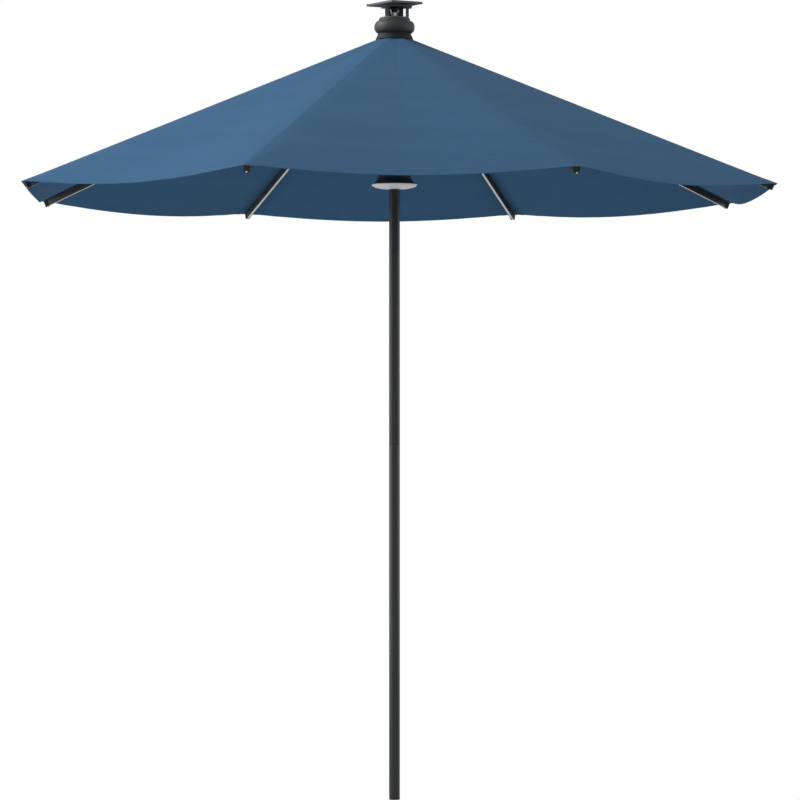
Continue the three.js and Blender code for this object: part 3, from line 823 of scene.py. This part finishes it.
def cloth_surface(along, across):
    """Points beside a rib: x out from the pole, y along the rim, z up. along runs from 0 at the
    crown's point to 1 at the hem, and across from -1 to 1 between the middles of two gores.
    The flat gore is the chord between two ribs; a parabola across it, to the power of 1.2 and
    growing with the cube of along, lowers it and draws it in. A hyperbola rounds the ridge
    where the cloth bends over the rib. The seam lies on a welt, pulls fan from the corner,
    and faint ripples run beside the hem."""
    side = np.abs(across) / 2
    round_radius = ridge_round + (crown_round - ridge_round) * (1 - along)
    bend = round_radius / (cloth_radius * np.sin(half_gore) * along)
    round_side = (np.hypot(2 * side, bend) - bend) / (np.hypot(1, bend) - bend) / 2
    sag = (4 * round_side * (1 - round_side)) ** 1.2 * along**3
    pull = 1 - draw_in * sag / cloth_radius
    x = cloth_radius * (1 - round_side + round_side * np.cos(2 * half_gore)) * along * pull
    y = cloth_radius * side * np.sin(2 * half_gore) * np.sign(across) * along * pull
    z = apex_height - (apex_height - rim_height) * along - droop * sag
    welt = 0.7 * MM * (1 / (1 + np.exp((np.abs(y) - 7 * MM) / (0.7 * MM))))
    corner = np.hypot((1 - along) * rib_run, y)
    fan = np.arctan2(np.abs(y), (1 - along) * rib_run + 20 * MM)
    quiet = (1 - np.abs(across)) ** 2
    fading = np.exp(-corner / 0.16) * np.clip(corner / 0.04, 0, 1)
    pulls = 1.6 * MM * np.sin(11 * fan) * fading * quiet
    near_hem = np.exp(-(1 - along) * rib_run / 0.09)
    ripple = 0.9 * MM * np.sin(2 * np.pi * np.abs(y) / 0.13) * near_hem * quiet
    point = corner_point * np.exp(-((corner / 0.03) ** 2))
    return np.stack([x + point, y, z + welt + pulls + ripple], axis=-1)


def beside_rib(points, number):
    """The same points turned about the pole to that rib's side."""
    angle = rib_azimuth(number)
    x = points[..., 0] * np.cos(angle) - points[..., 1] * np.sin(angle)
    y = points[..., 0] * np.sin(angle) + points[..., 1] * np.cos(angle)
    return np.stack([x, y, points[..., 2]], axis=-1)


# %% Cut the grid: fine near the seam and the hem
columns_mm = [0, 2, 4, 5.5, 6.5, 7.5, 9, 12, 17, 25, 37]
columns_mm += [55, 80, 115, 160, 215, 280, 350, 430, 490, 515, 525]
half = np.array(columns_mm) / columns_mm[-1]
across_values = np.concatenate([-half[:0:-1], half])
start_share = inner_radius / cloth_radius
hem_share = HEM_WIDTH / rib_run
body_rows = start_share + (1 - hem_share - start_share) * np.linspace(0, 1, 70) ** 0.85
hem_rows = 1 - hem_share * np.array([0.97, 0.75, 0.5, 0.25, 0])
along_values = np.concatenate([body_rows, hem_rows])
along_grid, across_grid = np.meshgrid(along_values, across_values, indexing="ij")
outer = cloth_surface(along_grid, across_grid)

# The underside lies one cloth below, and a second one where the hem is folded back.
step_along = np.gradient(outer, axis=0)
step_across = np.gradient(outer, axis=1)
normal = np.cross(step_along, step_across)
normal /= np.linalg.norm(normal, axis=-1, keepdims=True)
folded = along_grid > 1 - 1.02 * hem_share
gauge = np.where(folded, 2.6 * cloth_gauge, cloth_gauge)[..., None]
inner = outer - normal * gauge
print("cloth grid", outer.shape[:2], "faces up:", bool(normal[..., 2].mean() > 0))


# %% Cut, sew and hang the eight pieces
def cloth_maps():
    """Flat-cloth metres from the gore's middle line, and metres from the seam."""
    turn = np.sign(across_grid) * half_gore
    radial = outer[..., 0] * np.cos(turn) + outer[..., 1] * np.sin(turn)
    level = -outer[..., 0] * np.sin(turn) + outer[..., 1] * np.cos(turn)
    flat = np.stack([level, radial / np.cos(pitch)], axis=-1)
    seam = np.stack([outer[..., 1], along_grid * rib_run], axis=-1)
    return flat, seam


def cloth_piece(number):
    """One rib's cloth as a thin closed shell, with both of its maps."""
    upper, lower = beside_rib(outer, number), beside_rib(inner, number)
    piece = shell(f"canopy_cloth_{number}", upper, lower, cloth_blue)
    flat, seam = cloth_maps()
    add_uv(piece, "flat_cloth", np.concatenate([flat.reshape(-1, 2)] * 2))
    add_uv(piece, "from_seam", np.concatenate([seam.reshape(-1, 2)] * 2))
    return piece


# A share of the cloth's width towards its rib, which still covers the rib's corners; nothing in
# this script narrows the cloth by it.
CLOTH_KEEP = 0.235
for number in range(1, RIBS + 1):
    piece = cloth_piece(number)
    place(piece, f"rib_arm_{number}", "canopy_cloth", f"canopy_panel_{number}")
    sideways, pivot = rib_hinge(number)
    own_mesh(piece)

# %% [markdown]
# ## Reinforcements
# Where the cloth works hardest it is doubled. A tape is sewn under each seam at the crown,
# and a patch, cut to a blunt triangle, under each corner. Both lie a hair below the cloth,
# so they are taken from the same surface formula, lowered by the cloth's own thickness.


# %% Sew the tapes and the patches
def under_cloth(name, number, along, half_width, gauge=0.8 * MM, columns=15):
    """A strip under the cloth. along is a column of values, and half_width gives the strip's
    half width in metres at each. Its top lies a gap below the cloth's underside."""
    share_across = np.linspace(-1, 1, columns)[None, :]
    half_gore_width = cloth_radius * np.sin(half_gore) * along[:, None]
    across = share_across * np.minimum(half_width[:, None] / half_gore_width, 0.995)
    rows_along = np.broadcast_to(along[:, None], across.shape)
    outside = cloth_surface(rows_along, across)
    level = outside - np.array([0, 0, cloth_gauge + 0.5 * MM])
    below = level - np.array([0, 0, gauge])
    piece = shell(name, beside_rib(level, number), beside_rib(below, number), webbing_blue)
    lengths = np.stack([outside[..., 1], rows_along * rib_run], axis=-1).reshape(-1, 2)
    add_uv(piece, "flat_cloth", np.concatenate([lengths] * 2))
    add_uv(piece, "from_seam", np.concatenate([lengths + np.array([1.0, 0])] * 2))
    return piece


TAPE_KEEP = 0.55
TAPE_ROWS, PATCH_ROWS = 30, 10
tape_half_widths = [38 * MM, 38 * MM, 6 * MM]
tape_along = np.linspace(start_share * 1.15, 0.30, TAPE_ROWS)
tape_half = np.interp(np.linspace(0, 1, TAPE_ROWS), [0, 0.6, 1], tape_half_widths)
patch_length = 90 * MM
patch_along = 1 - np.linspace(patch_length, HEM_WIDTH * 1.15, PATCH_ROWS) / rib_run
patch_half = np.linspace(16 * MM, 48 * MM, PATCH_ROWS)
for number in range(1, RIBS + 1):
    sideways, pivot = rib_hinge(number)
    # Each one's keep when folded, and the share of its box that its own shape covers.
    for name, along, half_width, keep, cover in (
        ("crown_tape", tape_along, tape_half, TAPE_KEEP, 0.8),
        ("corner_patch", patch_along, patch_half, CLOTH_KEEP, 2 / 3),
    ):
        piece = under_cloth(f"{name}_{number}", number, along, half_width)
        place(piece, f"rib_arm_{number}", "canopy_cloth")
        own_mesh(piece)

# %% [markdown]
# ## Bars, hubs and mouldings
# The remaining pieces keep the frame's exact shape. A copy of each is merged into clean
# flat faces, and a small bevel rounds its edges as extruding, moulding or powder does.


# %% Rounded copies
def softened(node, body, material, slot, radius, name, segments=2):
    """A copy of a node with merged flat faces and its edges rounded by a radius."""
    source = frame["nodes"][node]
    mesh = source.data.copy()
    work = bmesh.new()
    work.from_mesh(mesh)
    bmesh.ops.remove_doubles(work, verts=work.verts, dist=1e-6)
    bmesh.ops.dissolve_limit(work, angle_limit=np.radians(1), verts=work.verts, edges=work.edges)
    work.to_mesh(mesh)
    work.free()
    mesh.materials.clear()
    mesh.materials.append(material)
    mesh.polygons.foreach_set("use_smooth", np.ones(len(mesh.polygons), dtype=bool))
    piece = bpy.data.objects.new(name, mesh)
    scene.collection.objects.link(piece)
    bevel = piece.modifiers.new("rounded edges", "BEVEL")
    bevel.width = radius
    bevel.segments = segments
    bevel.limit_method = "ANGLE"
    bevel.angle_limit = np.radians(32)
    bevel.harden_normals = True
    return place(piece, body, slot, node)


for number in range(1, RIBS + 1):
    arm, brace = f"rib_arm_{number}", f"brace_{number}"
    for node, body, material, slot, radius, name, segments in (
        ("rib", arm, powder_coat, "frame_paint", 0.5, "rib_bar", 2),
        ("rib_tip", arm, black_nylon, "black_plastic", 1.5, "rib_cap", 3),
        ("strut", brace, powder_coat, "frame_paint", 0.8, "strut_bar", 2),
    ):
        node, name = f"{node}_{number}", f"{name}_{number}"
        softened(node, body, material, slot, radius * MM, name, segments)
for node, body, material, slot, radius, name, segments in (
    ("top_hub", "mast", powder_coat, "frame_paint", 0.5, "top_hub_casting", 2),
    ("runner_hub", "runner", powder_coat, "frame_paint", 0.5, "runner_hub_casting", 2),
    ("runner_body", "runner", black_nylon, "black_plastic", 0.6, "runner_moulding", 2),
    ("pole_foot_plug", "mast", black_nylon, "black_plastic", 0.8, "foot_plug", 2),
    # The tray and bracket take the ABS painted lighter, which stands in for light on their shaded
    # undersides.
    ("solar_bracket", "mast", abs_painted_lighter, "grey_plastic", 0.8, "solar_bracket_moulding", 2),
    ("solar_frame", "mast", abs_painted_lighter, "grey_plastic", 1.2, "solar_tray", 3),
    # The wing nut's zinc carries a painted highlight in its pale, partly diffuse colour.
    ("wing_nut", "mast", zinc_painted_highlight, "steel", 0.6, "wing_nut_pressing", 2),
    ("release_button", "release", grey_abs, "grey_plastic", 0.6, "release_yoke", 2),
    ("power_button", "lamp_switch", black_rubber, "rubber", 0.6, "power_push", 2),
):
    softened(node, body, material, slot, radius * MM, name, segments)

# %% Pieces that keep the frame's own mesh
for node, material in {
    "battery_pack": battery_film,
    "lamp_led_board": solder_mask,
    "brake_pad": black_rubber,
}.items():
    slots = frame["nodes"][node].data.materials
    slots.clear()
    slots.append(material)

# %% [markdown]
# ## Release spring
# A small coil of spring wire pushes the brake pad against the pole. The wire is a circle
# carried along a helix, and its two last half turns close up flat, as a ground end does.
# It is wound here at rest; in use it shortens towards the wall that it stands on when the button
# is pressed.

# %% Wind the spring
spring_low, spring_high = node_box("release_spring")
wire_radius = 0.5 * MM
coil_radius = float(spring_high[0] - spring_low[0]) / 2 - wire_radius
coil_middle = float(spring_high[2] + spring_low[2]) / 2
coil_start, coil_end = float(spring_high[1]) - wire_radius, float(spring_low[1]) + wire_radius
turns = 5
wire_sides = 10
path_share = np.linspace(0, 1, 32 * turns)
turn_angle = 2 * np.pi * turns * path_share
ground = np.clip((path_share * turns - 0.5) / (turns - 1), 0, 1)
spine = np.stack(
    [
        coil_radius * np.cos(turn_angle),
        coil_start + (coil_end - coil_start) * ground,
        coil_middle + coil_radius * np.sin(turn_angle),
    ],
    axis=1,
)
spoke = np.stack([np.cos(turn_angle), np.zeros_like(turn_angle), np.sin(turn_angle)], axis=1)
wire_angle = np.linspace(0, 2 * np.pi, wire_sides, endpoint=False)
wire = (
    spine[:, None]
    + wire_radius * np.cos(wire_angle)[None, :, None] * spoke[:, None]
    + wire_radius * np.sin(wire_angle)[None, :, None] * np.array([0, 1.0, 0])
)
# The coil takes the same zinc, with its painted highlight.
spring = make_object("release_coil", wire, tube_faces(len(spine), wire_sides), zinc_painted_highlight)
face_out(spring)
place(spring, "runner", "steel", "release_spring")
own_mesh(spring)

# %% [markdown]
# ## Light strips
# Each strip is a milky extrusion clipped into the channel under a rib. Its section is a
# flat bar with a domed face, and it is carried along the rib in a straight line.


# %% Carry the section along each rib
def rib_frame(number):
    """A rib's hinge point, then its outward, sideways and upward directions as unit vectors."""
    angle = rib_azimuth(number)
    out = np.array([np.cos(angle), np.sin(angle), 0])
    side_way = np.array([-np.sin(angle), np.cos(angle), 0])
    down = np.array([0, 0, -1])
    along = np.cos(pitch) * out + np.sin(pitch) * down
    up = np.cos(pitch) * -down + np.sin(pitch) * out
    return out * pivot_radius + np.array([0, 0, pivot_height]), along, side_way, up


strip_half = 4 * MM
strip_top = -6.8 * MM
strip_dome = 0.7 * MM
strip_face = -10.5 * MM
around = np.linspace(0, np.pi, 15)
dome_height = strip_face - strip_dome * np.sin(around) ** 0.7
dome = np.stack([strip_half * np.cos(around), dome_height], axis=1)
section = np.concatenate([dome, [(-strip_half, strip_top), (strip_half, strip_top)]])


def strip_ends(number):
    """Distances from the hinge to the strip's ends, measured along the rib's node."""
    pivot, along, _, _ = rib_frame(number)
    reach = (mesh_points(frame["nodes"][f"light_strip_{number}"].data) - pivot) @ along
    return reach.min(), reach.max()


for number in range(1, RIBS + 1):
    pivot, along, side_way, up = rib_frame(number)
    start, end = strip_ends(number)
    steps = np.linspace(start, end, 60)
    inset = np.clip(np.minimum(steps - start, end - steps) / (1.0 * MM), 0.75, 1)[:, None, None]
    ring = section[None] * inset
    points = (
        pivot
        + steps[:, None, None] * along
        + ring[..., 0:1] * side_way
        + (section[None, :, 1:2] * np.ones_like(inset)) * up
    )
    count = len(section)
    faces = tube_faces(len(steps), count)
    piece = make_object(f"light_lens_{number}", points, faces, strip_lens)
    for face in (-1, -2):
        piece.data.polygons[face].use_smooth = False
    face_out(piece)
    map_u = np.broadcast_to(section[None, :, 0], (len(steps), count))
    map_v = np.broadcast_to(steps[:, None], (len(steps), count))
    add_uv(piece, "along_strip", np.stack([map_u, map_v], axis=-1))
    place(piece, f"rib_arm_{number}", "diffuser", f"light_strip_{number}")
print("strip length", round(end - start, 3))

# %% [markdown]
# ## Solar cells
# The plate keeps the tray's tilt and turn. Its sides are read from the node's own corners,
# and a UV map in metres carries the cells' fine lines.


# %% The cell plate
def plate_axes(node):
    """Centre and two side directions of a square plate, from its farthest corners."""
    points = mesh_points(frame["nodes"][node].data)
    centre = (points.max(axis=0) + points.min(axis=0)) / 2
    # Sorted by height, so that a tie between the two faces goes to the lower one.
    rising = points[np.argsort(points[:, 2])]
    right, left = rising[np.argmax(rising[:, 0])], rising[np.argmin(rising[:, 0])]
    front = rising[np.argmin(rising[:, 1])]
    side_one = (right - front) / np.linalg.norm(right - front)
    side_two = (left - front) / np.linalg.norm(left - front)
    return centre, side_one, side_two


cell = softened("solar_cell", "mast", cells, "silicon", 0.3 * MM, "solar_cell_plate")
plate_centre, plate_one, plate_two = plate_axes("solar_cell")
cell_points = mesh_points(cell.data) - plate_centre
add_uv(cell, "plate", np.stack([cell_points @ plate_one, cell_points @ plate_two], axis=1))
